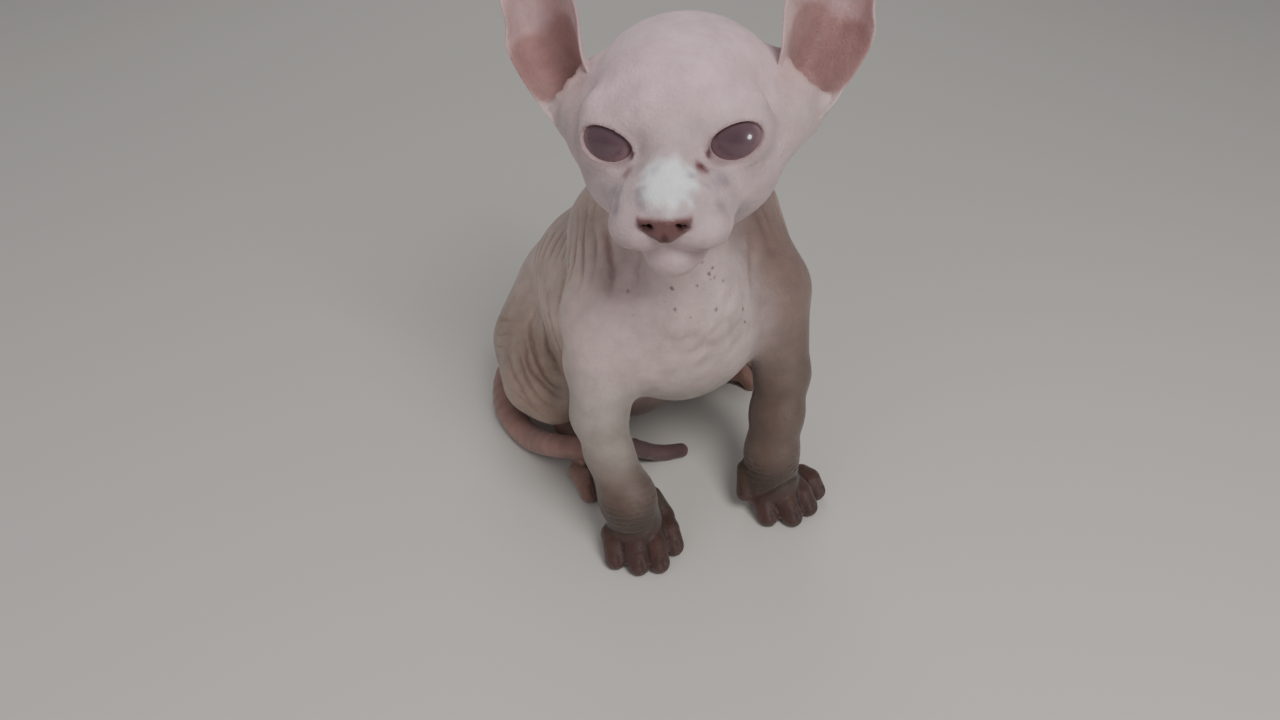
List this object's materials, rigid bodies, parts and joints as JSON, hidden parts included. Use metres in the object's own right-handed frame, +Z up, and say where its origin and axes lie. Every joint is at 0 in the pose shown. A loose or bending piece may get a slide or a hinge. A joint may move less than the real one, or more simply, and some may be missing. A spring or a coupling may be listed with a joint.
{
  "type": "sitting sphynx kitten, life-size still model",
  "caption": "Hairless kitten sitting upright on its haunches with large upright ears and the tail curled round one side, a still life-size display model.",
  "frame": {"origin": "on the floor, below the middle of the model's bounding box", "axes": "+Z up, -Y the way the chest faces, +X the kitten's own left side; the head is turned about 34 degrees towards its right"},
  "size_m": [0.1324, 0.1808, 0.2238],
  "materials": {
    "skin": "matt bare skin with fine wrinkles, pale pinkish cream",
    "ear_skin": "thin bare skin, pinker than the body",
    "paw_skin": "matt bare skin, brownish pink",
    "tail_skin": "matt bare skin with fine rings, brownish pink",
    "eye": "wet and glossy, dark, with a wide open pupil"
  },
  "bodies": {
    "root": {"ear_left": "ear_skin", "ear_right": "ear_skin", "eye_left": "eye", "eye_right": "eye", "foreleg_left": "skin", "foreleg_right": "skin", "forepaw_left": "paw_skin", "forepaw_right": "paw_skin", "head": "skin", "hindfoot_left": "paw_skin", "hindfoot_right": "paw_skin", "hindleg_left": "skin", "hindleg_right": "skin", "neck": "skin", "tail_base": "tail_skin", "tail_middle": "tail_skin", "tail_tip": "tail_skin", "torso": "skin"}
  },
  "joints": []
}
